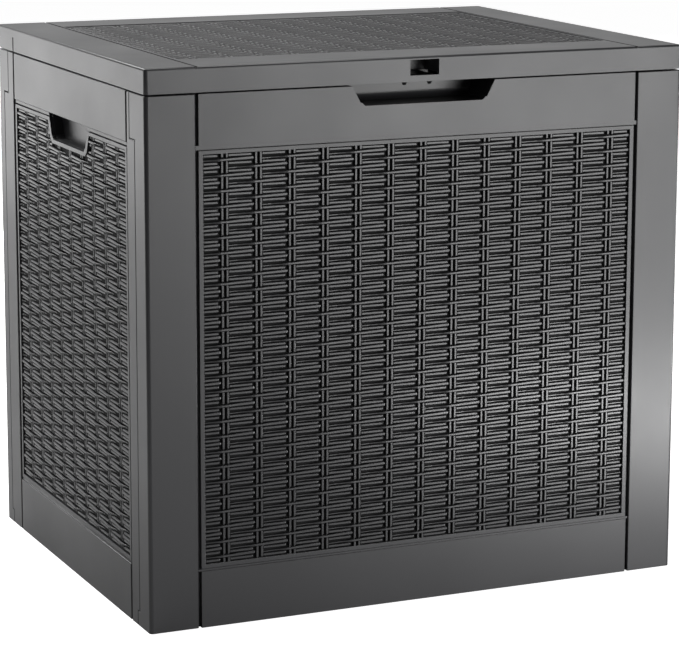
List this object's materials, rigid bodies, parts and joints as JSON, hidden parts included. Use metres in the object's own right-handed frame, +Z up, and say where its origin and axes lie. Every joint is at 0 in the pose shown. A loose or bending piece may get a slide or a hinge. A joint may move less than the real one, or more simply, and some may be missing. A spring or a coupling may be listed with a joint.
{
  "type": "deck storage box",
  "caption": "Upright outdoor storage box with woven-pattern resin panels, corner posts, side grips and a rear-hinged lid with a padlock window.",
  "frame": {"origin": "centre of the footprint on the ground plane", "axes": "+Z up, front face with the finger recess towards -Y, +X to the right seen from the front"},
  "size_m": [0.565, 0.448, 0.536],
  "materials": {
    "panel_resin": "satin moulded polypropylene, near black",
    "woven_resin": "satin moulded polypropylene in a wicker relief, near black",
    "hinge_resin": "satin moulded nylon, black",
    "steel": "zinc-plated steel"
  },
  "bodies": {
    "root": {"base_tray": "panel_resin", "front_panel": "panel_resin", "back_panel": "panel_resin", "left_panel": "panel_resin", "right_panel": "panel_resin", "left_grip_cup": "panel_resin", "right_grip_cup": "panel_resin", "post_front_left": "panel_resin", "post_front_right": "panel_resin", "post_rear_left": "panel_resin", "post_rear_right": "panel_resin", "front_weave": "woven_resin", "back_weave": "woven_resin", "left_weave": "woven_resin", "right_weave": "woven_resin", "lock_staple": "hinge_resin", "body_hinge_left": "hinge_resin", "body_hinge_right": "hinge_resin", "hinge_pin_left": "steel", "hinge_pin_right": "steel", "body_hinge_screws": "steel"},
    "lid": {"lid_shell": "panel_resin", "lid_weave": "woven_resin", "lid_inner_panel": "panel_resin", "lid_hinge_left": "hinge_resin", "lid_hinge_right": "hinge_resin", "lid_hinge_screws": "steel"}
  },
  "joints": [
    {"name": "lid_hinge", "type": "hinge", "parent": "root", "child": "lid", "pos_m": [0, 0.2132, 0.5225], "axis": [-1, 0, 0], "range_deg": [0, 94]}
  ]
}
